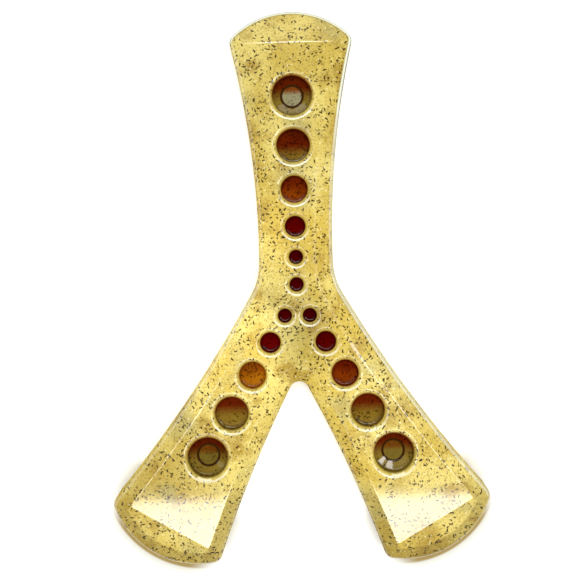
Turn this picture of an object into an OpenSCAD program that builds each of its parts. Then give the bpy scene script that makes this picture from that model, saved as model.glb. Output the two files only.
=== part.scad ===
// Three-armed throwing boomerang. The body is two moulded half shells that lap at a
// seam low on the edge, with sixteen graded round pockets sunk into the top face. The
// outermost pocket of each arm ends in a cone, with a steel trim weight under a plug.
// Millimetres. Origin: the point where the three arm axes meet, on the flat underside.
// +Y runs along the upper arm, +Z points out of the pocketed face.

/* [Body] */
// Thickness over both shells
thickness = 15.875; // [15.5:0.125:19]
// Angle between each lower arm and the downward direction
splay = 30; // [26:0.5:33]
// Height of the seam between the shells
seam_z = 4.5; // [3.5:0.1:5]
// Wall of both shells
wall = 2; // [1.6:0.1:2.4]
// Width of the sloping side faces around the flat top
bevel_w = 7.3; // [5:0.1:8.5]
// Drop of the sloping faces from the flat top to the edge
bevel_drop = 3.4; // [2:0.1:4.2]
// Rounding of the corners of the flat top
ridge_corner_r = 1; // [0.5:0.1:2]
// Chamfer around the underside
base_chamfer = 1.4; // [0.5:0.1:2]

/* [Upper arm] */
// Distance from the hub to the narrowest place
upper_waist_y = 22; // [16:0.5:30]
// Half width at the narrowest place
upper_waist_half = 18.3; // [16:0.1:22]
// Radius of the hollow curve of each side
upper_side_r = 433; // [400:1:700]
// Distance from the hub to the centre of the end curve
upper_end_y = 97.3; // [95:0.1:118]
// Radius of the end curve
upper_end_r = 42.3; // [39:0.1:48]
// Distance from the end curve's tip back to the straight ridge across the end
upper_facet_len = 16.3; // [12:0.1:20]

/* [Lower arms] */
// Distance from the hub to the narrowest place
lower_waist_y = 16; // [12:0.5:24]
// Half width at the narrowest place
lower_waist_half = 19.2; // [17:0.1:22]
// Radius of the hollow curve of each side
lower_side_r = 640; // [560:1:900]
// Distance from the hub to the centre of the end curve
lower_end_y = 103; // [98:0.1:124]
// Radius of the end curve
lower_end_r = 44.5; // [41:0.1:50]
// Distance from the end curve's tip back to the straight ridge across the end
lower_facet_len = 17.3; // [13:0.1:21]

/* [Edges where arms meet] */
// Rounding of the corners at the arm ends
corner_r = 5; // [3.5:0.1:7]
// Blend between the upper arm and each lower arm
shoulder_r = 34; // [24:1:44]
// Blend at the crotch between the lower arms
crotch_r = 4.8; // [4:0.1:9]

/* [Pockets] */
// Smallest pocket's diameter; each step adds half of it
pocket_d = 6.35; // [5.5:0.05:6.6]
// Depth of every pocket's straight wall
pocket_depth = 3.6; // [3:0.1:5]
// Solid web between neighbouring pockets
pocket_web = 7.1; // [5:0.1:8.5]
// Distance from the hub to the first pocket of the upper arm
upper_first_y = 4.65; // [3:0.05:6]
// Distance from the hub to the first pocket of each lower arm
lower_first_y = 12.2; // [11:0.05:14]
// Width of the chamfer at each pocket's mouth
lip_w = 2; // [1:0.1:2.2]
// Depth of the same chamfer
lip_h = 1.3; // [0.8:0.1:1.6]
// Wall of the cups that line the pockets
cup_wall = 1.8; // [1.2:0.1:2]
// Wall under the cone of an outermost pocket
cone_wall = 1.2; // [1:0.1:1.8]
// Slope of the cone at the bottom of the outermost pockets
cone_angle = 13; // [10:1:18]

/* [Weights and plugs] */
// Diameter of the plug and weight bore
plug_d = 10.6; // [9:0.1:11.4]
// Thickness of a plug
plug_h = 1.4; // [1:0.1:1.6]
// Clearance all round a plug
plug_clearance = 0.03; // [0.02:0.01:0.1]
// Clearance all round a weight
weight_clearance = 0.1; // [0.05:0.05:0.3]

/* [Joint between the shells] */
// Floor of the lower shell
floor_h = 2; // [1.6:0.1:2.2]
// Height of the lap tongue
lap_h = 2; // [1:0.1:2.5]
// Clearance between tongue and groove, and round every spigot and peg
lap_clearance = 0.15; // [0.1:0.05:0.25]
// Gap left for adhesive under spigots and bosses
glue_gap = 0.1; // [0.05:0.05:0.3]
// Height of the socket rings that the spigots drop into
ring_h = 3; // [2:0.1:4]
// How far posts and rings are sunk into the floor they stand on
footing = 1; // [0.5:0.1:1.2]
// Distance from the hub to its locating post, towards the crotch
hub_post_y = 20; // [18.5:0.1:22]
// Clear distance from an arm's last cup to its locating post
tip_post_gap = 3.2; // [2:0.1:5]
// Diameter of the locating posts
post_d = 7; // [5.5:0.1:8]
// Diameter of the pegs on the posts
peg_d = 3; // [2.5:0.1:3.5]
// Length of the pegs
peg_h = 4; // [2:0.1:4.5]

/* [Hidden] */
$fn = 72;
EPS = 1;
SIDE_STEPS = 6;
CORNER_STEPS = 3;
END_STEPS = 9;
BLEND_STEPS = 6;

resin = [0.86, 0.78, 0.46];
plug_tone = [0.55, 0.45, 0.18];
steel = [0.6, 0.61, 0.63];

// Arms in turning order, each modelled along its own +Y and turned about the hub:
// [turn, waist y, waist half width, side radius, end centre y, end radius, facet]
UPPER = [0, upper_waist_y, upper_waist_half, upper_side_r,
         upper_end_y, upper_end_r, upper_facet_len];
LEFT = [180 - splay, lower_waist_y, lower_waist_half, lower_side_r,
        lower_end_y, lower_end_r, lower_facet_len];
RIGHT = [180 + splay, lower_waist_y, lower_waist_half, lower_side_r,
         lower_end_y, lower_end_r, lower_facet_len];
ARMS = [UPPER, LEFT, RIGHT];
BLENDS = [shoulder_r, crotch_r, shoulder_r];

// Pocket radii by step, and the steps along each arm from the hub outwards
function step_r(step) = pocket_d / 2 * (1 + step / 2);
UPPER_STEPS = [0, 0, 1, 2, 3, 4];
LOWER_STEPS = [0, 1, 2, 3, 4];
function steps_of(arm) = arm[0] == 0 ? UPPER_STEPS : LOWER_STEPS;
function first_y(arm) = arm[0] == 0 ? upper_first_y : lower_first_y;

// Distance from the hub to pocket i of an arm: webs and radii added up
function pocket_y(arm, i) = i == 0 ? first_y(arm)
    : pocket_y(arm, i - 1) + step_r(steps_of(arm)[i - 1]) + pocket_web + step_r(steps_of(arm)[i]);
function last(arm) = len(steps_of(arm)) - 1;

outer_pocket_r = step_r(4);
plug_r = plug_d / 2;
cone_h = (outer_pocket_r - plug_r) * tan(cone_angle);
pocket_floor_z = thickness - pocket_depth;
plug_top_z = pocket_floor_z - cone_h;
weight_top_z = plug_top_z - plug_h;
weight_h = weight_top_z - floor_h - glue_gap;
outer_cup_z = plug_top_z - cone_wall;
spigot_r = plug_r + cup_wall;

rim_z = thickness - bevel_drop;
bevel_angle = atan(bevel_drop / bevel_w);
inner_rim_z = rim_z + wall * tan(bevel_angle) - wall / cos(bevel_angle);
inner_ridge = bevel_w + wall * tan(bevel_angle / 2);

post_top_z = seam_z + lap_h + EPS;
post_r = post_d / 2;
peg_r = peg_d / 2;
function tip_post_y(arm) = pocket_y(arm, last(arm)) + outer_pocket_r + cup_wall + tip_post_gap;

// --- Plane geometry ---

function polar(c, r, a) = c + r * [cos(a), sin(a)];
function turned(p, a) = [p[0] * cos(a) - p[1] * sin(a), p[0] * sin(a) + p[1] * cos(a)];
function heading(v) = atan2(v[1], v[0]);
function arc(c, r, a0, a1, n) = [for (i = [0:n]) polar(c, r, a0 + (a1 - a0) * i / n)];

// Turns from heading a to heading b by the short way round
function short_way(a, b) = a + ((b - a + 540) % 360) - 180;

// The point at r1 from c1 and r2 from c2, on the left of the line from c1 to c2
function crossing(c1, r1, c2, r2) =
    let (
        d = norm(c2 - c1),
        u = (c2 - c1) / d,
        a = (r1 * r1 - r2 * r2 + d * d) / (2 * d),
        h = sqrt(r1 * r1 - a * a)
    )
    c1 + a * u + h * [-u[1], u[0]];

// Centre of an arm's side curve in the body frame; side is 1 for its right, -1 for its left
function side_centre(arm, side) = turned([side * (arm[2] + arm[3]), arm[1]], arm[0]);

// Centre of the blend between the left side of one arm and the right side of the next
function blend_centre(a, b, r) =
    crossing(side_centre(b, 1), b[3] - r, side_centre(a, -1), a[3] - r);

// Centre of the corner rounding on an arm's right, drawn in along the axis by inset
function corner_centre(arm, r, inset) =
    crossing([0, arm[4]], arm[5] - inset - r, [arm[2] + arm[3], arm[1]], arm[3] + inset + r);
function mirrored(p) = [-p[0], p[1]];

// Corner and end curve of the edge, inset, in the arm's own frame: right to left
function edge_end(arm, inset) =
    let (
        r = max(corner_r - inset, ridge_corner_r),
        q = corner_centre(arm, r, inset),
        a0 = heading([arm[2] + arm[3], arm[1]] - q),
        a1 = heading(q - [0, arm[4]]),
        right = arc(q, r, short_way(a1, a0), a1, CORNER_STEPS),
        left = arc(mirrored(q), r, 180 - a1, 180 - short_way(a1, a0), CORNER_STEPS),
        tip = arc([0, arm[4]], arm[5] - inset, a1, 180 - a1, END_STEPS)
    )
    concat(right, [for (i = [1:END_STEPS - 1]) tip[i]], left);

// The same for the straight ridge across the end of the flat top
function ridge_end(arm, inset, back) =
    let (
        r = ridge_corner_r,
        y = arm[4] + arm[5] - arm[6] - back - r,
        reach = arm[3] + inset + r,
        c = [arm[2] + arm[3], arm[1]],
        q = [c[0] - sqrt(reach * reach - (y - c[1]) * (y - c[1])), y],
        a0 = heading(c - q),
        right = arc(q, r, a0, 90, CORNER_STEPS),
        left = arc(mirrored(q), r, 90, 180 - a0, CORNER_STEPS)
    )
    concat(right,
           [for (i = [1:END_STEPS - 1]) [q[0] * (1 - 2 * i / END_STEPS), y + r]],
           left);

// One arm's points: its right side outwards, its end, its left side back, then the blend
function arm_points(k, inset, end) =
    let (
        arm = ARMS[k],
        before = ARMS[(k + 2) % 3],
        after = ARMS[(k + 1) % 3],
        right = side_centre(arm, 1),
        left = side_centre(arm, -1),
        blend_in = blend_centre(before, arm, BLENDS[(k + 2) % 3]),
        blend_out = blend_centre(arm, after, BLENDS[k]),
        tip = [for (p = end) turned(p, arm[0])],
        from_hub = heading(blend_in - right),
        to_tip = short_way(from_hub, heading(tip[0] - right)),
        from_tip = heading(tip[len(tip) - 1] - left),
        to_hub = short_way(from_tip, heading(blend_out - left)),
        out_side = arc(right, arm[3] + inset, from_hub, to_tip, SIDE_STEPS),
        in_side = arc(left, arm[3] + inset, from_tip, to_hub, SIDE_STEPS),
        b0 = heading(blend_out - left),
        b1 = short_way(b0, heading(blend_out - side_centre(after, 1))),
        bend = arc(blend_out, BLENDS[k] + inset, b0, b1, BLEND_STEPS)
    )
    concat([for (i = [0:SIDE_STEPS - 1]) out_side[i]], tip,
           [for (i = [1:SIDE_STEPS]) in_side[i]],
           [for (i = [1:BLEND_STEPS - 1]) bend[i]]);

// The whole edge of the body, and of its flat top, drawn in by inset
function edge(inset) =
    [for (k = [0:2]) each arm_points(k, inset, edge_end(ARMS[k], inset))];
function ridge(inset, back) =
    [for (k = [0:2]) each arm_points(k, inset, ridge_end(ARMS[k], inset, back))];

// --- Solids ---

// Skin over a stack of rings that have the same number of points; levels = [[ring, z], ...].
// It is made one unit tall and then stretched to its height.
module loft(levels) {
    n = len(levels[0][0]);
    top = len(levels) - 1;
    z0 = levels[0][1];
    tall = levels[top][1] - z0;
    points = [for (level = levels) each [for (p = level[0]) [p[0], p[1], (level[1] - z0) / tall]]];
    walls = [for (k = [0:top - 1], i = [0:n - 1])
        let (a = k * n + i, b = k * n + (i + 1) % n)
        each [[a, a + n, b + n], [a, b + n, b]]];
    translate([0, 0, z0]) resize([0, 0, tall])
        polyhedron(points, concat([[for (i = [0:n - 1]) i]], walls,
                                  [[for (i = [n - 1:-1:0]) top * n + i]]));
}

// Everything inside the edge, drawn in by inset, between two heights
module slab(inset, z0, z1) {
    translate([0, 0, z0]) linear_extrude(z1 - z0) polygon(edge(inset));
}

module on_arm(arm, y) {
    rotate([0, 0, arm[0]]) translate([0, y, 0]) children();
}

// Places its child at each locating post: one below the hub, one near each arm's end
module at_posts() {
    translate([0, -hub_post_y, 0]) children();
    for (arm = ARMS) on_arm(arm, tip_post_y(arm)) children();
}

// Plain cup behind one pocket
module cup(r) {
    bottom = pocket_floor_z - cup_wall;
    translate([0, 0, bottom]) cylinder(h = thickness - wall / 2 - bottom, r = r + cup_wall);
}

// Cup behind an outermost pocket, with the spigot that holds the weight
module outer_cup() {
    z1 = thickness - wall / 2;
    translate([0, 0, outer_cup_z]) cylinder(h = z1 - outer_cup_z, r = outer_pocket_r + cup_wall);
    spigot_z = floor_h + glue_gap;
    translate([0, 0, spigot_z]) cylinder(h = outer_cup_z + EPS - spigot_z, r = spigot_r);
}

module pocket_cut(r) {
    translate([0, 0, pocket_floor_z]) cylinder(h = pocket_depth + EPS, r = r);
    translate([0, 0, thickness - lip_h])
        cylinder(h = lip_h + EPS, r1 = r, r2 = r + lip_w * (1 + EPS / lip_h));
}

module outer_pocket_cut() {
    pocket_cut(outer_pocket_r);
    translate([0, 0, plug_top_z])
        cylinder(h = cone_h, r1 = plug_r, r2 = outer_pocket_r);
    cylinder(h = plug_top_z + EPS / 2, r = plug_r);
}

module upper_shell() {
    color(resin) difference() {
        union() {
            difference() {
                loft([[edge(0), seam_z], [edge(0), rim_z], [ridge(bevel_w, 0), thickness]]);
                loft([[edge(wall), seam_z - EPS], [edge(wall), inner_rim_z],
                      [ridge(inner_ridge, inner_ridge - bevel_w), thickness - wall]]);
                slab(wall / 2, seam_z - EPS, seam_z + lap_h + glue_gap);
            }
            for (arm = ARMS) {
                for (i = [0:last(arm) - 1])
                    on_arm(arm, pocket_y(arm, i)) cup(step_r(steps_of(arm)[i]));
                on_arm(arm, pocket_y(arm, last(arm))) outer_cup();
            }
            at_posts() translate([0, 0, post_top_z + glue_gap])
                cylinder(h = thickness - wall / 2 - post_top_z - glue_gap, r = post_r);
        }
        for (arm = ARMS) {
            for (i = [0:last(arm) - 1])
                on_arm(arm, pocket_y(arm, i)) pocket_cut(step_r(steps_of(arm)[i]));
            on_arm(arm, pocket_y(arm, last(arm))) outer_pocket_cut();
        }
        at_posts() translate([0, 0, post_top_z - EPS])
            cylinder(h = peg_h + glue_gap + EPS, r = peg_r + lap_clearance);
    }
}

module lower_shell() {
    color(resin) {
        difference() {
            loft([[edge(base_chamfer), 0], [edge(0), base_chamfer], [edge(0), seam_z]]);
            slab(wall, floor_h, seam_z + EPS);
        }
        difference() {
            slab(wall / 2 + lap_clearance, floor_h, seam_z + lap_h);
            slab(wall, floor_h - EPS, seam_z + lap_h + EPS);
        }
        at_posts() {
            translate([0, 0, floor_h - footing])
                cylinder(h = post_top_z - floor_h + footing, r = post_r);
            translate([0, 0, floor_h]) cylinder(h = post_top_z + peg_h - floor_h, r = peg_r);
        }
        for (arm = ARMS) on_arm(arm, pocket_y(arm, last(arm))) difference() {
            translate([0, 0, floor_h - footing])
                cylinder(h = footing + ring_h, r = spigot_r + lap_clearance + cup_wall);
            translate([0, 0, floor_h])
                cylinder(h = ring_h + EPS, r = spigot_r + lap_clearance);
        }
    }
}

// Disc that closes the bore over a weight; its face is the floor of the pocket
module plug(arm) {
    color(plug_tone) on_arm(arm, pocket_y(arm, last(arm))) translate([0, 0, weight_top_z])
        cylinder(h = plug_h, r = plug_r - plug_clearance);
}

// Steel slug under the plug, standing on the floor of the lower shell
module weight(arm) {
    color(steel) on_arm(arm, pocket_y(arm, last(arm))) translate([0, 0, floor_h + glue_gap])
        cylinder(h = weight_h, r = plug_r - weight_clearance);
}

upper_shell();
lower_shell();
plug(UPPER);  // plug_upper
plug(LEFT);  // plug_left
plug(RIGHT);  // plug_right
weight(UPPER);  // weight_upper
weight(LEFT);  // weight_left
weight(RIGHT);  // weight_right
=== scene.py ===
# %% [markdown]
# # A three-armed boomerang in speckled resin
#
# The body is a glossy, slightly see-through resin full of short brown fibres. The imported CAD
# model fixes its size and where every pocket is. Here each visible piece is worked out again
# as a fine, smooth surface around that frame, because the CAD edges are sharp and its curves
# are cut into a few flats, and gloss shows both at once.

import bmesh
import bpy
import numpy as np
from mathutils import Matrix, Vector
from mathutils.geometry import delaunay_2d_cdt


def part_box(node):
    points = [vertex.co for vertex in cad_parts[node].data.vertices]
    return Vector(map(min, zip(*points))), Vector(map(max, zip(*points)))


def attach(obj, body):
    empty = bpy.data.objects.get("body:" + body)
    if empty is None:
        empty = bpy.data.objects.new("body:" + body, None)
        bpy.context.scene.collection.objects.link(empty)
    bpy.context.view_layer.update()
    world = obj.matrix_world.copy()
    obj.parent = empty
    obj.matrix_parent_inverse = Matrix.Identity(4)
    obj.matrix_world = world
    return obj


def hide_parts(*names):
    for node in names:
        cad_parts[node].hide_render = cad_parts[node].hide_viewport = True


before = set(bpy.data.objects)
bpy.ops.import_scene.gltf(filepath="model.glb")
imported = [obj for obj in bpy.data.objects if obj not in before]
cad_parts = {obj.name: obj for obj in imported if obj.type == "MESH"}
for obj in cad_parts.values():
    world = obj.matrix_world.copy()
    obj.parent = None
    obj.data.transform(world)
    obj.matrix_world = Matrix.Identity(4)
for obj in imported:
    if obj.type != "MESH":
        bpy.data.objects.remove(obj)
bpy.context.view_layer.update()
MM = 0.001
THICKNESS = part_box("upper_shell")[1].z / MM

# %% [markdown]
# ## The outline
# Every edge of the body is a circular arc: a wide hollow curve down each side of an arm, a
# curve round its end, and small blends between them. Points in the plane are complex numbers,
# so that turning an arm about the hub is one multiplication, and an arc is one exponential.
# The sizes are the design's own, in millimetres.

# %% Arms and plane geometry
SIDE_POINTS, CORNER_POINTS, END_POINTS, BLEND_POINTS = 56, 10, 52, 24
BEVEL_WIDTH, BEVEL_DROP = 7.3, 3.4
CORNER_RADIUS, RIDGE_CORNER_RADIUS = 5.0, 1.0
SHOULDER_RADIUS, CROTCH_RADIUS = 34.0, 4.8


class Arm:
    """One arm along +Y, turned about the hub by an angle in degrees. Lengths in millimetres."""

    def __init__(self, name, turn, waist_y, waist_half, side_radius, end_y, end_radius, facet,
                 first_pocket, steps):
        self.name, self.turn = name, np.exp(1j * np.radians(turn))
        self.waist_y, self.waist_half, self.side_radius = waist_y, waist_half, side_radius
        self.end_y, self.end_radius, self.facet = end_y, end_radius, facet
        self.first_pocket, self.steps = first_pocket, steps

    def side(self, hand):
        """Centre of the side curve in the arm's own frame; hand is 1 for its right, -1 for its left."""
        return hand * (self.waist_half + self.side_radius) + 1j * self.waist_y


UPPER = Arm("upper", 0, 22, 18.3, 433, 97.3, 42.3, 16.3, 4.65, (0, 0, 1, 2, 3, 4))
LEFT = Arm("left", 150, 16, 19.2, 640, 103, 44.5, 17.3, 12.2, (0, 1, 2, 3, 4))
RIGHT = Arm("right", 210, 16, 19.2, 640, 103, 44.5, 17.3, 12.2, (0, 1, 2, 3, 4))
ARMS = [UPPER, LEFT, RIGHT]
BLENDS = [SHOULDER_RADIUS, CROTCH_RADIUS, SHOULDER_RADIUS]


def arc(centre, radius, start, end, count):
    """count points on a circle, from the direction of start to the direction of end (both
    complex), by the short way round: centre + radius * exp(i * angle)."""
    first = np.angle(start)
    sweep = np.angle(end / start)
    return centre + radius * np.exp(1j * (first + sweep * np.linspace(0, 1, count)))


def crossing(a, a_radius, b, b_radius):
    """Where two circles cross, on the left of the line from a to b: go along that line by
    (ra^2 - rb^2 + d^2) / 2d, then square to it by what Pythagoras leaves of ra."""
    d = abs(b - a)
    along = (a_radius**2 - b_radius**2 + d**2) / (2 * d)
    return a + (along + 1j * np.sqrt(a_radius**2 - along**2)) * (b - a) / d


def edge_end(arm, inset):
    """The corner, end curve and other corner of an arm, from its right to its left."""
    radius = max(CORNER_RADIUS - inset, 0.6)
    tip = 1j * arm.end_y
    corner = crossing(tip, arm.end_radius - inset - radius, arm.side(1),
                      arm.side_radius + inset + radius)
    right = arc(corner, radius, arm.side(1) - corner, corner - tip, CORNER_POINTS)
    end = arc(tip, arm.end_radius - inset, corner - tip, -(corner - tip).conjugate(), END_POINTS)
    return np.concatenate([right, end[1:-1], -right[::-1].conjugate()])


def ridge_end(arm, inset):
    """The same count of points round the straight ridge that ends the flat top."""
    radius = RIDGE_CORNER_RADIUS
    y = arm.end_y + arm.end_radius - arm.facet - radius
    reach = arm.side_radius + inset + radius
    side = arm.side(1)
    corner = side.real - np.sqrt(reach**2 - (y - side.imag) ** 2) + 1j * y
    right = arc(corner, radius, side - corner, 1j, CORNER_POINTS)
    across = np.linspace(right[-1].real, -right[-1].real, END_POINTS) + 1j * right[-1].imag
    return np.concatenate([right, across[1:-1], -right[::-1].conjugate()])


def outline(inset, end_of):
    """The whole closed edge of the body, drawn in by inset, counter-clockwise: for each arm its
    right side outwards, its end, its left side back, and the blend into the next arm."""
    points = []
    for k, arm in enumerate(ARMS):
        before, after = ARMS[k - 1], ARMS[(k + 1) % 3]
        right, left = arm.side(1) * arm.turn, arm.side(-1) * arm.turn
        next_right = after.side(1) * after.turn
        blend_in = crossing(right, arm.side_radius - BLENDS[k - 1],
                            before.side(-1) * before.turn, before.side_radius - BLENDS[k - 1])
        blend_out = crossing(next_right, after.side_radius - BLENDS[k],
                             left, arm.side_radius - BLENDS[k])
        tip = end_of(arm, inset) * arm.turn
        radius = arm.side_radius + inset
        points += [
            arc(right, radius, blend_in - right, tip[0] - right, SIDE_POINTS)[:-1],
            tip,
            arc(left, radius, tip[-1] - left, blend_out - left, SIDE_POINTS)[1:],
            arc(blend_out, BLENDS[k] + inset, blend_out - left, blend_out - next_right,
                BLEND_POINTS)[1:-1],
        ]
    return np.concatenate(points)


edge = outline(0, edge_end)
ridge = outline(BEVEL_WIDTH, ridge_end)
print("outline has", len(edge), "points, spans", np.ptp(edge.real).round(1), "x",
      np.ptp(edge.imag).round(1), "mm")

# %% [markdown]
# ## Pockets
# The pockets grow in even steps along each arm with the same solid web between neighbours.
# Each one is a profile spun round its axis: a rounded lip, a straight wall, a small fillet and
# the floor. The outermost pocket of each arm goes on down a shallow cone to a round plug.

# %% Pocket places and sizes
SMALLEST_RADIUS, WEB, DEPTH = 3.175, 7.1, 3.6
LIP_WIDTH, LIP_TURN, LIP_FOOT = 2.0, 0.8, 0.4
LIP_REACH = LIP_WIDTH + LIP_TURN
LIP_ANGLE = np.radians(32)
FLOOR_FILLET = 0.6
CONE_SLOPE = np.tan(np.radians(13))
PLUG_RADIUS, GROOVE = 5.2, 0.1
AROUND = 72


def pocket_radius(step):
    """Each step adds half of the smallest radius."""
    return SMALLEST_RADIUS * (1 + step / 2)


def pockets_of(arm):
    """(centre as a complex number, radius, is it the outermost) of each pocket of an arm."""
    radii = np.array([pocket_radius(s) for s in arm.steps])
    pitch = radii[:-1] + WEB + radii[1:]
    distance = arm.first_pocket + np.concatenate([[0], np.cumsum(pitch)])
    last = len(radii) - 1
    return [(1j * d * arm.turn, r, i == last) for i, (d, r) in enumerate(zip(distance, radii))]


POCKETS = [pocket for arm in ARMS for pocket in pockets_of(arm)]
OUTER_RADIUS = pocket_radius(4)
CONE_DROP = (OUTER_RADIUS - PLUG_RADIUS - GROOVE) * CONE_SLOPE
PLUG_TOP = THICKNESS - DEPTH - CONE_DROP
print(len(POCKETS), "pockets; plug tops at", round(PLUG_TOP, 2), "mm")

# %% Mesh tools
def quarter(start, corner, end, count=7):
    """A smooth turn from start to end that leaves both along the lines to corner: the
    quadratic curve (1-t)^2 start + 2t(1-t) corner + t^2 end."""
    t = np.linspace(0, 1, count)[:, None]
    start, corner, end = (np.asarray(v, float) for v in (start, corner, end))
    return (1 - t) ** 2 * start + 2 * t * (1 - t) * corner + t**2 * end


class Surface:
    """Collects grids and filled regions, then welds them into one closed object."""

    def __init__(self):
        self.points, self.faces, self.total = [], [], 0

    def grid(self, rows):
        """rows: array (rows, columns, 3) whose columns close on themselves."""
        height, width = rows.shape[:2]
        index = self.total + np.arange(height * width).reshape(height, width)
        right = np.roll(index, -1, axis=1)
        quads = np.stack([index[:-1], right[:-1], right[1:], index[1:]], axis=-1)
        self.faces.append(quads.reshape(-1, 4))
        self.points.append(rows.reshape(-1, 3))
        self.total += height * width

    def fan(self, ring, centre):
        """Closes a ring of points with triangles to a centre point."""
        count = len(ring)
        index = self.total + np.arange(count)
        self.faces.append(np.stack([index, np.roll(index, -1), np.full(count, self.total + count)],
                                   axis=-1))
        self.points.append(np.vstack([ring, centre]))
        self.total += count + 1

    def fill(self, border, holes, z):
        """Flat triangles at height z between a border and round holes, by Delaunay."""
        loops = [border] + [c + r * circle() for c, r in holes]
        flat = np.concatenate(loops)
        starts = np.cumsum([0] + [len(loop) for loop in loops])
        links = [(int(a + i), int(a + (i + 1) % (b - a)))
                 for a, b in zip(starts[:-1], starts[1:]) for i in range(b - a)]
        found = delaunay_2d_cdt([Vector((p.real, p.imag)) for p in flat], links, [], 1, 1e-7)
        made = np.array([complex(*v) for v in found[0]])
        triangles = np.array(found[2])
        keep = np.ones(len(triangles), bool)
        for c, r in holes:
            keep &= ~(abs(made - c) < r * 1.0005)[triangles].all(axis=1)
        self.faces.append(triangles[keep] + self.total)
        self.points.append(np.stack([made.real, made.imag, np.full(len(made), z)], axis=-1))
        self.total += len(made)

    def build(self, name, soft_angle=40):
        """Welds what was collected, points its faces outwards and returns the object."""
        mesh = bpy.data.meshes.new(name)
        points = np.concatenate(self.points) * MM
        mesh.from_pydata(points.tolist(), [], [f.tolist() for part in self.faces for f in part])
        work = bmesh.new()
        work.from_mesh(mesh)
        bmesh.ops.remove_doubles(work, verts=work.verts, dist=2e-6)
        bmesh.ops.dissolve_degenerate(work, dist=1e-7, edges=work.edges)
        bmesh.ops.recalc_face_normals(work, faces=work.faces)
        work.to_mesh(mesh)
        open_edges = sum(not e.is_manifold for e in work.edges)
        work.free()
        mesh.shade_smooth()
        mesh.set_sharp_from_angle(angle=np.radians(soft_angle))
        piece = bpy.data.objects.new(name, mesh)
        bpy.context.scene.collection.objects.link(piece)
        weighted = piece.modifiers.new("Even shading", "WEIGHTED_NORMAL")
        weighted.keep_sharp = True
        weighted.weight = 100
        print(f"{name}: {len(mesh.polygons)} faces, {open_edges} open edges")
        return piece


def circle():
    """AROUND points on the unit circle."""
    return np.exp(2j * np.pi * np.arange(AROUND) / AROUND)


def spun(profile, centre):
    """A profile of (radius, height) rows spun round a vertical axis."""
    profile = np.asarray(profile, float)
    ring = centre + profile[:, :1] * circle()[None, :]
    height = np.broadcast_to(profile[:, 1:], ring.shape)
    return np.stack([ring.real, ring.imag, height], axis=-1)


def skirt(profile, inward):
    """A profile of (distance in from the edge, height) rows carried round the whole outline.
    Each row's distance may be one number or one for each point; inward is its direction."""
    rows = []
    for distance, height in profile:
        p = edge + inward * distance
        rows.append(np.stack([p.real, p.imag, np.broadcast_to(height, p.shape)], axis=-1))
    return np.array(rows)


# %% [markdown]
# ## The upper shell
# Its skin starts at the seam, rises up the edge, rounds on to the sloping facets and rounds
# again on to the flat top. That second rounding is tight at the arm ends, where the ridges are
# crisp lines, and wide near the hub, where they melt into the body.

# %% Upper shell
SEAM, SEAM_BEVEL, BASE_ROUND = 4.5, 0.22, 1.4
RIM_ROUND = 3.0
CRISP, SOFT = 0.5, 4.0
SOFT_UNTIL, CRISP_FROM = 50.0, 92.0
BORDER = 0.05

rim = THICKNESS - BEVEL_DROP
span = abs(ridge - edge)
inward = (ridge - edge) / span
slope = np.hypot(span, BEVEL_DROP)
down_in, down_up = span / slope, BEVEL_DROP / slope


def ease(x):
    """0 to 1 with level ends: x^2 (3 - 2x)."""
    x = np.clip(x, 0, 1)
    return x * x * (3 - 2 * x)


turn_length = SOFT + (CRISP - SOFT) * ease((abs(ridge) - SOFT_UNTIL) / (CRISP_FROM - SOFT_UNTIL))


def bevel_profile():
    """Rows of (distance in, height): seam, edge, rounding, slope, rounding, flat top."""
    rows = [(SEAM_BEVEL, SEAM), (0, SEAM + SEAM_BEVEL)]
    rows += [(0, z) for z in np.linspace(SEAM + SEAM_BEVEL, rim - RIM_ROUND, 5)[1:-1]]
    for t in np.linspace(0, 1, 7):
        rows.append((t**2 * RIM_ROUND * down_in,
                     (1 - t) ** 2 * (rim - RIM_ROUND) + 2 * t * (1 - t) * rim
                     + t**2 * (rim + RIM_ROUND * down_up)))
    for s in np.linspace(0, 1, 5)[1:-1]:
        reach = RIM_ROUND + s * (slope - turn_length - RIM_ROUND)
        rows.append((reach * down_in, rim + reach * down_up))
    for t in np.linspace(0, 1, 11):
        x0, z0 = span - turn_length * down_in, THICKNESS - turn_length * down_up
        rows.append(((1 - t) ** 2 * x0 + 2 * t * (1 - t) * span + t**2 * (span + turn_length),
                     (1 - t) ** 2 * z0 + (2 * t * (1 - t) + t**2) * THICKNESS))
    rows.append((span + turn_length + BORDER, THICKNESS))
    return rows


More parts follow.
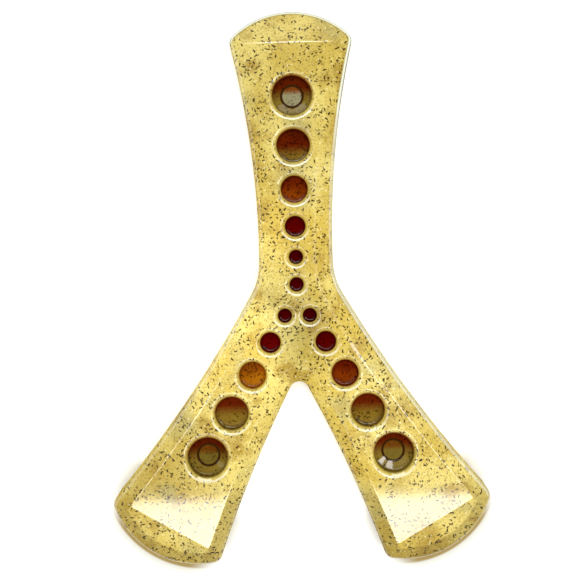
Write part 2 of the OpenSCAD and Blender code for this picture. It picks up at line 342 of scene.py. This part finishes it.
def pocket_profile(radius, outermost):
    """Rows of (radius, height) from the flat top down to the floor or the plug's bore."""
    lip = radius + LIP_WIDTH
    foot = THICKNESS - LIP_WIDTH * np.tan(LIP_ANGLE)
    down = np.array([-np.cos(LIP_ANGLE), -np.sin(LIP_ANGLE)])
    rows = [(lip + LIP_TURN + BORDER, THICKNESS)]
    rows += list(quarter((lip + LIP_TURN, THICKNESS), (lip, THICKNESS),
                         (lip, THICKNESS) + LIP_TURN * down, 9))
    rows += list(quarter((radius, foot) - LIP_FOOT * down, (radius, foot),
                         (radius, foot - LIP_FOOT), 7))
    floor = THICKNESS - DEPTH
    wall = np.linspace(foot - LIP_FOOT, floor + FLOOR_FILLET, 9)[1:-1]
    rows += [(radius, z) for z in wall]
    if outermost:
        bore = PLUG_RADIUS + GROOVE
        slant = np.hypot(radius - bore, CONE_DROP)
        foot = (radius - FLOOR_FILLET * (radius - bore) / slant,
                floor - FLOOR_FILLET * CONE_DROP / slant)
        rows += list(quarter((radius, floor + FLOOR_FILLET), (radius, floor), foot))
        rows += list(np.linspace(foot, (bore + 0.1, PLUG_TOP + 0.02), 5)[1:])
        rows += [(bore, PLUG_TOP - 0.06), (bore, PLUG_TOP - 0.4), (bore, PLUG_TOP - 0.8)]
    else:
        rows += list(quarter((radius, floor + FLOOR_FILLET), (radius, floor),
                             (radius - FLOOR_FILLET, floor)))
        rows += [(radius * s, floor) for s in (0.7, 0.4, 0.15)]
    return rows


def make_upper_shell():
    """The skin from the seam to the flat top, the pockets, and flats that close it."""
    surface = Surface()
    skin = skirt(bevel_profile(), inward)
    surface.grid(skin)
    lips = []
    for centre, radius, outermost in POCKETS:
        rows = spun(pocket_profile(radius, outermost), centre)
        surface.grid(rows)
        surface.fan(rows[-1], [centre.real, centre.imag, rows[-1, 0, 2]])
        lips.append((centre, radius + LIP_REACH + BORDER))
    surface.fill(skin[-1, :, 0] + 1j * skin[-1, :, 1], lips, THICKNESS)
    surface.fill(skin[0, :, 0] + 1j * skin[0, :, 1], [], SEAM)
    return surface.build("upper_shell_skin")


upper_shell = make_upper_shell()

# %% Marks for the finish
CROTCH_POINT, CROTCH_REACH = -42j, 34.0
# Set for each arm (-1 left, 0 long, 1 right): how much larger the middle-sized pocket counts
# when its shade is looked up, and how glossy the cone is.
MIDDLE_SHADE = {-1: 0.10, 0: -0.02, 1: -0.07}
CONE_GLOSS = {-1: 0.1, 0: 0.15, 1: 1.0}
MIDDLE_STEP, DEEPEST = 2, 1.27
NO_INSET = 20.0
FACED = complex(0.2, 0.98)
RIDGE_INSET, RIDGE_REACH, RIDGE_DULLING = 8, 6, 0.85
HUB_Y, GLOSSY_FROM, GLOSSY_FADE = -20, 92, 16
BATCH = 2000


def arm_side(centre):
    """-1 for a pocket of the left arm, 0 for the long arm and 1 for the right arm."""
    return int(np.sign(round(centre.real)))


def vertices_of(piece):
    """Vertex positions in mm: the plan view as complex numbers, and the heights."""
    co = np.empty(len(piece.data.vertices) * 3, np.float32)
    piece.data.vertices.foreach_get("co", co)
    co = co.reshape(-1, 3) / MM
    return co[:, 0] + 1j * co[:, 1], co[:, 2]


def write_marks(piece, **marks):
    """Stores each array as a number on every vertex, which a material reads by its name."""
    for name, values in marks.items():
        layer = piece.data.attributes.new(name, "FLOAT", "POINT")
        layer.data.foreach_set("value", np.ascontiguousarray(values, np.float32))


def edge_marks(flat):
    """For every vertex, its distance in from the nearest point of the outline, how far the
    outline there faces the +Y side (the dot product of its outward normal with FACED), and
    the gloss: ridges that face +X on the long arm and the crotch on the others are dull."""
    inset, facing = np.full(len(flat), NO_INSET), np.zeros(len(flat))
    shine = np.ones(len(flat))
    turned = -inward * FACED.conjugate()
    long_side = (-inward.real > 0.8) & (edge.imag > HUB_Y)
    crotch_side = (-inward.imag < -0.3) & (abs(inward.real) > 0.6) & (edge.imag < HUB_Y)
    dull = np.where(long_side, 1.0,
                    crotch_side * (1 - ease((abs(edge) - GLOSSY_FROM) / GLOSSY_FADE)))
    for start in range(0, len(flat), BATCH):
        part = slice(start, start + BATCH)
        away = abs(flat[part, None] - edge[None, :])
        nearest = away.argmin(axis=1)
        inset[part] = np.minimum(away.min(axis=1), NO_INSET)
        facing[part] = turned.real[nearest]
        on_ridge = abs(inset[part] - RIDGE_INSET) < RIDGE_REACH
        shine[part] = 1 - RIDGE_DULLING * dull[nearest] * on_ridge
    return inset, facing, shine


def pocket_marks(flat, height):
    """Four marks: how deep a vertex is in a pocket (0 at the mouth, 1 at the floor, DEEPEST at
    the foot of the cone), how large that pocket is (0 smallest, 1 largest), how far across it
    the vertex is (-1 at the crotch side, 1 at the +Y side), and how much gloss it keeps. A
    pocket's floor and wall are dull, but for the -Y side of the fillet round the floor and of
    the cone. The crotch is dull too."""
    deep, size, across = (np.zeros(len(flat)) for _ in range(3))
    gloss = np.ones(len(flat))
    floor = THICKNESS - DEPTH
    for centre, radius, _ in POCKETS:
        away = abs(flat - centre)
        inside = (away < radius + LIP_REACH * 0.99) & (height < THICKNESS - 0.001)
        deep[inside] = np.clip((THICKNESS - height[inside]) / DEPTH, 0, DEEPEST)
        shade = MIDDLE_SHADE[arm_side(centre)] * (radius == pocket_radius(MIDDLE_STEP))
        size[inside] = (radius / SMALLEST_RADIUS - 1) / 2 + shade
        across[inside] = (flat[inside] - centre).imag / radius
        south = (flat - centre).imag < -0.5 * away
        fillet = (away > radius - FLOOR_FILLET * 1.2) & south
        fillet &= height < floor + FLOOR_FILLET * 1.1
        cone = inside & (height < floor - 0.05) & south
        gloss[inside & (away < radius + 1.0) & ~fillet] = 0
        gloss[cone] = CONE_GLOSS[arm_side(centre)]
    crotch = ease(1 - abs(flat - CROTCH_POINT) / CROTCH_REACH) * (height > SEAM + 1)
    return deep, size, across, gloss * (1 - crotch)


def mark_skin(piece):
    """All the marks of one skin."""
    flat, height = vertices_of(piece)
    deep, size, across, gloss = pocket_marks(flat, height)
    inset, facing, shine = edge_marks(flat)
    write_marks(piece, deep=deep, size=size, across=across, gloss=gloss * shine, inset=inset,
                facing=facing)


mark_skin(upper_shell)

# %% [markdown]
# ## The lower shell and the plugs
# The lower shell is a shallow tray. Only its edge and its flat underside show, so its skin is
# one more profile carried round the outline. The plugs are low discs with a rounded edge.

# %% Lower shell
def make_lower_shell():
    """The skin from the flat underside to the seam, closed at both."""
    surface = Surface()
    rows = [(BASE_ROUND + 0.4, 0)]
    rows += list(quarter((BASE_ROUND, 0), (0, 0), (0, BASE_ROUND)))
    rows += [(0, (BASE_ROUND + SEAM) / 2), (0, SEAM - SEAM_BEVEL), (SEAM_BEVEL, SEAM)]
    skin = skirt(rows, inward)
    surface.grid(skin)
    for ring in (skin[0], skin[-1]):
        surface.fill(ring[:, 0] + 1j * ring[:, 1], [], ring[0, 2])
    return surface.build("lower_shell_skin")


lower_shell = make_lower_shell()
mark_skin(lower_shell)


def make_plug(arm):
    """The plug of an arm's outermost pocket, marked with how far across (-1 to 1, towards +Y)
    and how far outward (0 to 1) each vertex is."""
    centre = pockets_of(arm)[-1][0]
    round_off, bottom = 0.18, PLUG_TOP - 0.7
    rows = [(PLUG_RADIUS * 0.3, bottom), (PLUG_RADIUS, bottom)]
    rows += list(quarter((PLUG_RADIUS, PLUG_TOP - round_off), (PLUG_RADIUS, PLUG_TOP),
                         (PLUG_RADIUS - round_off, PLUG_TOP), 5))
    rows += [(PLUG_RADIUS * s, PLUG_TOP) for s in (0.93, 0.85, 0.7, 0.5, 0.25)]
    surface = Surface()
    grid = spun(rows, centre)
    surface.grid(grid)
    for ring in (grid[0], grid[-1]):
        surface.fan(ring, [centre.real, centre.imag, ring[0, 2]])
    plug = surface.build("plug_face_" + arm.name)
    flat, _ = vertices_of(plug)
    write_marks(plug, across=(flat - centre).imag / PLUG_RADIUS,
                outward=abs(flat - centre) / PLUG_RADIUS)
    return plug


plugs = {arm.name: make_plug(arm) for arm in ARMS}

# %% [markdown]
# ## Shader maths as plain expressions
# A small class wraps a shader socket, so that a formula in Python adds its own Math nodes.

# %% Shader tools
class Value:
    """A socket that carries one number. Plus, minus and times add a Math node each."""

    def __init__(self, graph, socket):
        self.graph, self.socket = graph, socket

    def _math(self, operation, *others):
        return self.graph.number("ShaderNodeMath", {"operation": operation}, self, *others)

    def __add__(self, other):
        return self._math("ADD", other)

    def __sub__(self, other):
        return self._math("SUBTRACT", other)

    def __rsub__(self, other):
        return self.graph.number("ShaderNodeMath", {"operation": "SUBTRACT"}, other, self)

    def __mul__(self, other):
        return self._math("MULTIPLY", other)

    __radd__, __rmul__ = __add__, __mul__

    def absolute(self):
        return self._math("ABSOLUTE")

    def fade(self, start, end):
        """0 at start, 1 at end, with level ends; start may be the larger."""
        return self.graph.number("ShaderNodeMapRange", {"interpolation_type": "SMOOTHSTEP"},
                                 self, start, end, 0.0, 1.0)


class Graph:
    """One material's nodes. Its methods add a node each and return the socket it gives."""

    def __init__(self, name):
        self.material = bpy.data.materials.new(name)
        self.material.use_nodes = True
        self.tree = self.material.node_tree
        self.tree.nodes.clear()

    def node(self, kind, settings, *inputs, **named):
        """Adds a node, sets its settings, then its inputs by order or by name."""
        made = self.tree.nodes.new(kind)
        for key, value in settings.items():
            if key == "stops":
                self._stops(made.color_ramp, value)
            else:
                setattr(made, key, value)
        for key, value in list(enumerate(inputs)) + list(named.items()):
            self._feed(made.inputs[key], value)
        return made

    def _stops(self, ramp, stops):
        while len(ramp.elements) < len(stops):
            ramp.elements.new(0.5)
        for element, (place, colour) in zip(ramp.elements, stops):
            element.position, element.color = place, (*colour, 1)

    def _feed(self, target, value):
        if isinstance(value, Value):
            value = value.socket
        if isinstance(value, bpy.types.NodeSocket):
            self.tree.links.new(value, target)
        elif value is not None:
            target.default_value = value

    def number(self, kind, settings, *inputs):
        return Value(self, self.node(kind, settings, *inputs).outputs[0])

    def vector(self, operation, *inputs):
        return self.node("ShaderNodeVectorMath", {"operation": operation}, *inputs).outputs["Vector"]

    def scaled(self, vector, factor):
        made = self.node("ShaderNodeVectorMath", {"operation": "SCALE"}, vector, Scale=factor)
        return made.outputs["Vector"]

    def dot(self, a, b):
        made = self.node("ShaderNodeVectorMath", {"operation": "DOT_PRODUCT"}, a, b)
        return Value(self, made.outputs["Value"])

    def mm(self, place, x=0, y=0, z=0):
        """How far place, a position in metres, lies along (x, y, z), in mm."""
        return self.dot(place, (x / MM, y / MM, z / MM))

    def length(self, a):
        made = self.node("ShaderNodeVectorMath", {"operation": "LENGTH"}, a)
        return Value(self, made.outputs["Value"])

    def mix(self, factor, a, b, blend="MIX"):
        made = self.node("ShaderNodeMix", {"data_type": "RGBA", "blend_type": blend})
        for name, value in (("Factor_Float", factor), ("A_Color", a), ("B_Color", b)):
            socket = next(s for s in made.inputs if s.identifier == name)
            self._feed(socket, (*value, 1) if isinstance(value, tuple) else value)
        return next(s for s in made.outputs if s.identifier == "Result_Color")

    def ramp(self, factor, stops):
        return self.node("ShaderNodeValToRGB", {"stops": stops}, factor).outputs["Color"]

    def noise(self, vector, scale, detail=2.0):
        made = self.node("ShaderNodeTexNoise", {}, Vector=vector, Scale=scale, Detail=detail)
        return Value(self, made.outputs["Fac"])

    def attribute(self, name):
        made = self.node("ShaderNodeAttribute", {"attribute_name": name})
        return Value(self, made.outputs["Fac"])

    def finish(self, normal=None, **sockets):
        """Feeds the shader's sockets, named with _ for a space, and returns the material."""
        shader = self.node("ShaderNodeBsdfPrincipled", {})
        for key, value in sockets.items():
            self._feed(shader.inputs[key.replace("_", " ")], value)
        if normal is not None:
            self._feed(shader.inputs["Normal"], normal)
        output = self.node("ShaderNodeOutputMaterial", {})
        self.tree.links.new(shader.outputs[0], output.inputs[0])
        print(self.material.name, "has", len(self.tree.nodes), "nodes")
        return self.material


# %% [markdown]
# ## Fibre flecks
# A fleck is a short straight fibre that lies anywhere in the resin. Space is cut into random
# cells. Each cell gives one point and one random direction, and the fibre is the strip round
# that point along that direction, both laid flat on the surface. A fibre whose point is deep
# under the surface looks paler, as it does through real resin.

# %% Flecks
def flecks(g, place, normal, cell, length, width, shift, share, deepest=0.55):
    """Strength of one layer of flecks, 0 to 1. cell is the mean distance between fibres, length
    and width are a fibre's own, all in mm; share is the part of the cells that hold one."""
    p = g.vector("ADD", g.scaled(place, 1000 / cell), (shift, shift * 0.7, shift * 1.3))
    cells = g.node("ShaderNodeTexVoronoi", {"voronoi_dimensions": "3D", "feature": "F1"},
                   Vector=p, Scale=1.0, Randomness=1.0)
    offset = g.vector("SUBTRACT", p, cells.outputs["Position"])
    under = g.dot(offset, normal)
    offset = g.vector("SUBTRACT", offset, g.scaled(normal, under))
    random = g.vector("SUBTRACT", cells.outputs["Color"], (0.5, 0.5, 0.5))
    random = g.vector("SUBTRACT", random, g.scaled(normal, g.dot(random, normal)))
    along = g.vector("NORMALIZE", random)
    reach = g.dot(offset, along)
    sideways = g.length(g.vector("SUBTRACT", offset, g.scaled(along, reach)))
    half_length, half_width = length / cell / 2, width / cell / 2
    strip = reach.absolute().fade(half_length * 1.15, half_length * 0.8)
    strip = strip * sideways.fade(half_width * 1.25, half_width * 0.6)
    rand = g.node("ShaderNodeSeparateColor", {}, cells.outputs["Color"]).outputs[1]
    chosen = Value(g, rand).fade(share + 0.01, share - 0.01)
    return strip * chosen * under.absolute().fade(deepest, deepest * 0.35)


# %% Resin colours
CREAM, YELLOW = (0.73, 0.58, 0.145), (0.57, 0.405, 0.055)
AMBER, GREY = (0.42, 0.27, 0.028), (0.43, 0.37, 0.12)
DARK, BROWN, PALE = (0.035, 0.016, 0.002), (0.17, 0.09, 0.012), (0.90, 0.80, 0.40)


def resin_colour(g):
    """Cream resin with soft yellow, amber and grey clouds, and four layers of flecks. The dark
    flecks crowd together in places, as chopped fibre does when it is stirred in."""
    place = g.node("ShaderNodeTexCoord", {}).outputs["Object"]
    normal = g.node("ShaderNodeNewGeometry", {}).outputs["Normal"]
    wobble = g.node("ShaderNodeTexNoise", {}, Vector=place, Scale=900.0, Detail=1.0)
    bent = g.vector("ADD", place, g.scaled(g.vector("SUBTRACT", wobble.outputs["Color"],
                                                    (0.5, 0.5, 0.5)), 0.00045))
    clouds = g.noise(place, 42.0, 4.0)
    colour = g.mix(clouds.fade(0.40, 0.62), CREAM, YELLOW)
    amber = g.noise(g.vector("ADD", place, (3.1, 1.7, 0)), 60.0, 4.0)
    colour = g.mix(amber.fade(0.50, 0.66), colour, AMBER)
    grey = g.noise(g.vector("ADD", place, (7.3, 4.1, 0)), 45.0, 2.0)
    colour = g.mix(grey.fade(0.55, 0.75) * 0.7, colour, GREY)
    grain = g.noise(place, 1500.0, 2.0).fade(0.35, 0.7)
    colour = g.mix(grain * 0.18, colour, PALE)
    faint = flecks(g, bent, normal, 1.6, 0.9, 0.6, 31.0, 0.8, 0.8)
    colour = g.mix(faint * 0.45, colour, BROWN)
    crowd = g.noise(g.vector("ADD", place, (1.3, 9.7, 0)), 130.0, 2.0).fade(0.36, 0.64)
    for cell, length, width, shift, share in ((2.0, 1.15, 0.62, 5.0, 0.70),
                                              (2.9, 1.75, 0.72, 17.0, 0.88)):
        layer = flecks(g, bent, normal, cell, length, width, shift, crowd * share + 0.08)
        colour = g.mix(layer * 0.97, colour, DARK)
    light = flecks(g, bent, normal, 3.8, 1.2, 0.5, 47.0, 0.45)
    return g.mix(light * 0.7, colour, PALE), place, normal


# %% [markdown]
# ## Pocket colours
# Pockets are painted darker with depth: painted shade that stands in for the shade inside them and for
# light that has crossed a lot of resin. The colour runs from cream at the lip through amber to red, and
# the narrowest pockets end nearly black-red.

# %% Resin material
# In order: the lips' painted highlight and two dark joint lines; the facets' painted shade; the rim's
# inner painted shade line, painted highlight and outer painted shade line.
LIP_PAINTED_HIGHLIGHT, LINE, GROOVE_LINE = (0.93, 0.91, 0.74), (0.035, 0.012, 0.002), (0.045, 0.018, 0.003)
FACET_PAINTED_SHADE = (0.62, 0.60, 0.53)
RIM_INNER_PAINTED_SHADE, RIM_PAINTED_HIGHLIGHT, RIM_OUTER_PAINTED_SHADE = (0.32, 0.26, 0.06), (0.76, 0.78, 0.63), (0.17, 0.17, 0.10)


def pocket_colour_and_painted_light(g, colour, deep, size, across, painted_shade_shift):
    """Paints shade by depth: the floor colour depends on how wide the pocket is, and its +Y side, which
    the wall above shades, is painted redder, further down by its last argument. The lip gets a painted
    highlight, a pale ring, palest on the -Y side. A dark line runs round the foot of the cone, where
    the plug sits."""
    # Painted shade: floor colours, darkest for the narrowest pockets, and a darker set for the +Y side,
    # where the wall above shades the floor.
    floor = g.ramp(size, [(0.0, (0.068, 0.0005, 0.001)), (0.25, (0.095, 0.001, 0.0006)),
                          (0.5, (0.20, 0.036, 0.0015)), (0.6, (0.30, 0.10, 0.003)),
                          (0.75, (0.19, 0.115, 0.014)), (1.0, (0.20, 0.135, 0.02))])
    north_painted_shade = g.ramp(size, [(0.0, (0.055, 0.0004, 0.001)), (0.25, (0.075, 0.0006, 0.0006)),
                          (0.5, (0.13, 0.013, 0.001)), (0.6, (0.19, 0.045, 0.002)),
                          (0.75, (0.10, 0.010, 0.001)), (1.0, (0.09, 0.010, 0.001))])
    shade = g.mix((across + painted_shade_shift).fade(-0.45, 0.5), floor, north_painted_shade)
    specks = g.mix(0.75, (1, 1, 1), g.mix(1.0, colour, (1.5, 1.9, 6.5), "MULTIPLY"))
    shade = g.mix(1.0, shade, specks, "MULTIPLY")
    # Painted shade on the wall: the +Y wall, turned away from the light, is painted darker than the -Y
    # wall.
    north_wall_painted_shade = g.mix(size.fade(0.5, 1.0), (0.40, 0.27, 0.04), (0.20, 0.075, 0.008))
    wall = g.mix(across.fade(-0.6, 0.6), (0.40, 0.31, 0.06), north_wall_painted_shade)
    # Painted highlight: a pale ring on the lip, strongest on its -Y side.
    lip = deep.fade(0.002, 0.012) * deep.fade(0.10, 0.05)
    lip = lip * (across.fade(-0.2, -1.1) * 0.45 + 0.06)
    colour = g.mix(lip, colour, LIP_PAINTED_HIGHLIGHT)
    # Painted shade deepens down the wall and on to the floor.
    depth_painted_shade = g.mix(deep.fade(0.11, 0.22) * 0.85, colour, wall)
    inner = g.mix(deep.fade(1.215, 1.25), shade, LINE)
    return g.mix(deep.fade(0.22, 0.34), depth_painted_shade, inner)


def painted_rim_and_facet_light(g, colour, place, inset, facing):
    """The low ends' facets get painted shade, a deeper amber. Where the outline faces +Y, the rounding
    above its wall gets a painted highlight, pale between two thin lines of painted shade."""
    # Painted shade on the low ends' facets, which tilt away from the light.
    low = g.mm(place, y=1).fade(-88.0, -104.0)
    facet = inset.fade(8.2, 6.6) * low
    colour = g.mix(facet * 0.9, colour, g.mix(1.0, colour, FACET_PAINTED_SHADE, "MULTIPLY"))
    # Painted highlight on the rim where the outline faces +Y, with a thin line of painted shade on
    # either side.
    long_end = g.mm(place, y=1).fade(60.0, 100.0)
    painted_rim_mask = long_end * facing.fade(-0.12, 0.3) + (1 - long_end) * facing.fade(-0.1, 0.6) * 0.5
    above = g.mm(place, z=1).fade(rim - RIM_ROUND - 0.2, rim - RIM_ROUND + 0.9)
    painted_rim_mask = painted_rim_mask * above
    line = long_end * 0.65 + 0.25
    colour = g.mix(inset.fade(2.5, 2.1) * painted_rim_mask * 0.6, colour, RIM_INNER_PAINTED_SHADE)
    colour = g.mix(inset.fade(1.85, 1.5) * painted_rim_mask * 0.9, colour, RIM_PAINTED_HIGHLIGHT)
    return g.mix(inset.fade(0.80, 0.45) * painted_rim_mask * line, colour, RIM_OUTER_PAINTED_SHADE)


# Painted light and shade: patches where the resin is painted lighter or darker as the light falls on it
# (centre and radius in mm, colour multiplier).
PAINTED_LIGHT_AND_SHADE = [((-32, -25), 38, (1.32, 1.32, 1.34)), ((2, -6), 24, (0.84, 0.85, 0.90)),
          ((0, -24), 22, (0.76, 0.78, 0.84)), ((40, -48), 38, (1.15, 1.22, 1.50)),
          ((0, 112), 85, (0.87, 0.88, 0.88)), ((-66, -86), 30, (0.80, 0.78, 0.72)),
          ((24, 55), 26, (1.00, 1.03, 1.20)), ((-14, 32), 24, (1.13, 1.12, 1.05))]


def with_painted_light_and_shade(g, colour, place):
    """Applies the painted light and shade patches, each strongest within a fifth of its radius."""
    plan = g.vector("MULTIPLY", place, (1000, 1000, 0))
    for (x, y), radius, change in PAINTED_LIGHT_AND_SHADE:
        away = g.length(g.vector("SUBTRACT", plan, (x, y, 0)))
        colour = g.mix(away.fade(radius, radius * 0.2), colour,
                       g.mix(1.0, colour, change, "MULTIPLY"))
    return colour


def make_resin():
    """The resin with its pockets and rim. The gloss is one clear coat, faded out at the edge."""
    g = Graph("speckled resin")
    colour, place, normal = resin_colour(g)
    deep, size, across, gloss, inset, facing = (
        g.attribute(n) for n in ("deep", "size", "across", "gloss", "inset", "facing"))
    # Painted light and shade: the lighter and darker patches, then the facets' painted shade and the
    # rim's painted highlight.
    colour = painted_rim_and_facet_light(g, with_painted_light_and_shade(g, colour, place), place, inset, facing)
    long_arm = g.mm(place, y=1).fade(0.0, 10.0)
    middling = size.fade(0.98, 0.88) * size.fade(0.62, 0.7)
    # Painted shade and painted highlight in the pockets.
    colour = pocket_colour_and_painted_light(g, colour, deep, size, across, long_arm * middling * 0.4)
    bump = g.node("ShaderNodeBump", {}, Strength=0.05, Distance=0.0004,
                  Height=g.noise(place, 260.0, 2.0)).outputs[0]
    rough = g.noise(place, 600.0, 2.0) * 0.10 + 0.16
    return g.finish(normal=bump, Base_Color=colour, Roughness=rough,
                    Coat_Weight=gloss * inset.fade(0.4, 1.1), Coat_Roughness=0.07,
                    Coat_IOR=1.6, Specular_IOR_Level=0.0)


resin = make_resin()


def make_plug_material():
    """Grey-cream on the plug of the long arm and olive on the other two, red-brown towards +Y
    where the wall above shades it, with a dark line round the edge."""
    g = Graph("plug resin")
    colour, place, _ = resin_colour(g)
    across, outward = g.attribute("across"), g.attribute("outward")
    long_arm = g.mm(place, y=1).fade(-10.0, 10.0)
    base = g.mix(long_arm, (0.15, 0.105, 0.018), (0.24, 0.215, 0.13))
    shaded = g.mix(long_arm, (0.13, 0.04, 0.004), (0.16, 0.04, 0.006))
    tone = g.mix((across - long_arm * 0.15).fade(-0.1, 0.5), base, shaded)
    specks = g.mix(0.6, (1, 1, 1), g.mix(1.0, colour, (1.5, 1.9, 5.5), "MULTIPLY"))
    shade = g.mix(1.0, tone, specks, "MULTIPLY")
    shade = g.mix(outward.fade(0.86, 0.95), shade, GROOVE_LINE)
    return g.finish(Base_Color=shade, Roughness=g.noise(place, 600.0) * 0.1 + 0.14,
                    Specular_IOR_Level=0.0)


plug_resin = make_plug_material()


def make_steel():
    """Steel with fine turning streaks, for the weights inside."""
    g = Graph("turned steel")
    place = g.node("ShaderNodeTexCoord", {}).outputs["Object"]
    streak = g.noise(g.vector("MULTIPLY", place, (1.0, 1.0, 14.0)), 900.0, 3.0)
    return g.finish(Base_Color=g.mix(streak, (0.45, 0.46, 0.48), (0.62, 0.63, 0.65)),
                    Roughness=streak * 0.2 + 0.25, Metallic=1.0)


steel = make_steel()

# %% [markdown]
# ## Putting the pieces on the frame
# The two skins and the plug faces stand for their CAD nodes. The steel weights are right as
# they are, sealed inside, and only take a material.

# %% Pieces on the frame
def dress(piece, material, node):
    """Gives a piece its material and puts it on the frame in the place of a CAD node."""
    piece.data.materials.clear()
    piece.data.materials.append(material)
    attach(piece, "root")
    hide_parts(node)


dress(upper_shell, resin, "upper_shell")
dress(lower_shell, resin, "lower_shell")
for name, piece in plugs.items():
    dress(piece, plug_resin, "plug_" + name)
for name in plugs:
    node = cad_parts["weight_" + name]
    node.data.materials.clear()
    node.data.materials.append(steel)

# %% [markdown]
# ## Floor, light and camera
# A white table under very even light: a window and the sky beyond the upper arm, a white panel
# past the lower arms, which the flat tips mirror, bars that draw the outer ridges of the lower
# arms, and a lamp that shows on the right cone. The resin is opaque here, so the amber glow and
# the soft shadow that light through it would leave beyond the low ends are painted on the table.

# %% Studio
TOP = THICKNESS * MM
CAST, SHADOW, GLOW = 3, (0.50, 0.49, 0.41), (0.27, 0.17, 0.012)


def make_floor():
    """The table, with the shadow and the amber glow painted next to the two low ends. It also
    gives off a little light, so that it stays white."""
    half, thick = 3.0, 0.01
    square = ((-half, -half), (half, -half), (half, half), (-half, half))
    corners = [(x, y, z) for z in (-thick, 0) for x, y in square]
    mesh = bpy.data.meshes.new("floor")
    mesh.from_pydata(corners, [], [(3, 2, 1, 0), (4, 5, 6, 7), (0, 1, 5, 4), (1, 2, 6, 5),
                                   (2, 3, 7, 6), (3, 0, 4, 7)])
    floor = bpy.data.objects.new("floor", mesh)
    bpy.context.scene.collection.objects.link(floor)
    g = Graph("white table")
    place = g.node("ShaderNodeTexCoord", {}).outputs["Object"]
    tone = g.mix(g.noise(place, 20.0), (0.93, 0.93, 0.925), (0.95, 0.95, 0.945))
    plan = g.vector("MULTIPLY", place, (1000, 1000, 0))
    for arm in (LEFT, RIGHT):
        middle, along = 1j * arm.end_y * arm.turn, 1j * arm.turn
        beyond = g.length(g.vector("SUBTRACT", plan, (middle.real, middle.imag - CAST, 0)))
        beyond = beyond - arm.end_radius
        near = g.dot(plan, (along.real, along.imag, 0)).fade(112.0, 122.0)
        aside = g.dot(plan, (-along.imag, along.real, 0)).absolute()
        shadow = beyond.fade(14.5, 5.5) * near * aside.fade(46.0, 18.0)
        tone = g.mix(shadow * 0.8, tone, SHADOW)
        glow = beyond.fade(6.4, 5.2) * near * aside.fade(31.0, 18.0)
        tone = g.mix(glow * 0.92, tone, GLOW)
    mesh.materials.append(g.finish(Base_Color=tone, Roughness=0.6, Emission_Color=tone,
                                   Emission_Strength=0.22))


make_floor()


def area_light(name, place, target, size, power):
    """A white rectangular light at place that faces target. Lengths in metres, power in watts."""
    data = bpy.data.lights.new(name, "AREA")
    data.shape, data.size, data.size_y = "RECTANGLE", *size
    data.energy = power
    lamp = bpy.data.objects.new(name, data)
    bpy.context.scene.collection.objects.link(lamp)
    lamp.location = place
    lamp.rotation_mode = "QUATERNION"
    lamp.rotation_quaternion = (Vector(target) - Vector(place)).to_track_quat("-Z", "Y")


area_light("strip window", (0.0, 0.66, 1.15), (0, 0.06, 0), (0.9, 0.34), 8.9)
area_light("sky", (0.0, 1.3, 1.1), (0, 0, 0), (3.0, 1.2), 3)
area_light("panel", (0.0, -0.707, 1.05), (0, -0.11, 0), (0.82, 0.15), 4.0)
area_light("lamp", (0.33, -0.027, 1.1), (0.05, 0, 0), (0.44, 0.19), 1.9)
for side in (-1, 1):
    area_light("side wall", (side * 1.1, -0.1, 0.22), (0, 0, 0), (0.9, 0.3), 2.0)
    area_light("side bar", (side * 0.60, -0.29, 1.0), (0, -0.05, 0), (0.28, 0.28), 2.0)
world = bpy.data.worlds.new("room")
world.use_nodes = True
world.node_tree.nodes["Background"].inputs["Color"].default_value = (1.0, 1.0, 1.0, 1)
world.node_tree.nodes["Background"].inputs["Strength"].default_value = 0.30
bpy.context.scene.world = world
bpy.context.scene.view_settings.view_transform = "Standard"

# %% Camera
CAMERA_HEIGHT = 293 * MM
CAMERA_X, CAMERA_Y = -0.9 * MM, 48.9 * MM
ROLL = np.radians(1.46)
SENSOR, LENS = 36.0, 37.5

camera_data = bpy.data.cameras.new("camera")
camera_data.sensor_width, camera_data.lens = SENSOR, LENS
camera_data.shift_x, camera_data.shift_y = -0.0078, -0.163
camera_data.clip_start, camera_data.clip_end = 0.01, 20
camera = bpy.data.objects.new("camera", camera_data)
bpy.context.scene.collection.objects.link(camera)
camera.location = (CAMERA_X, CAMERA_Y, TOP + CAMERA_HEIGHT)
camera.rotation_euler = (0, 0, -ROLL)
bpy.context.scene.camera = camera
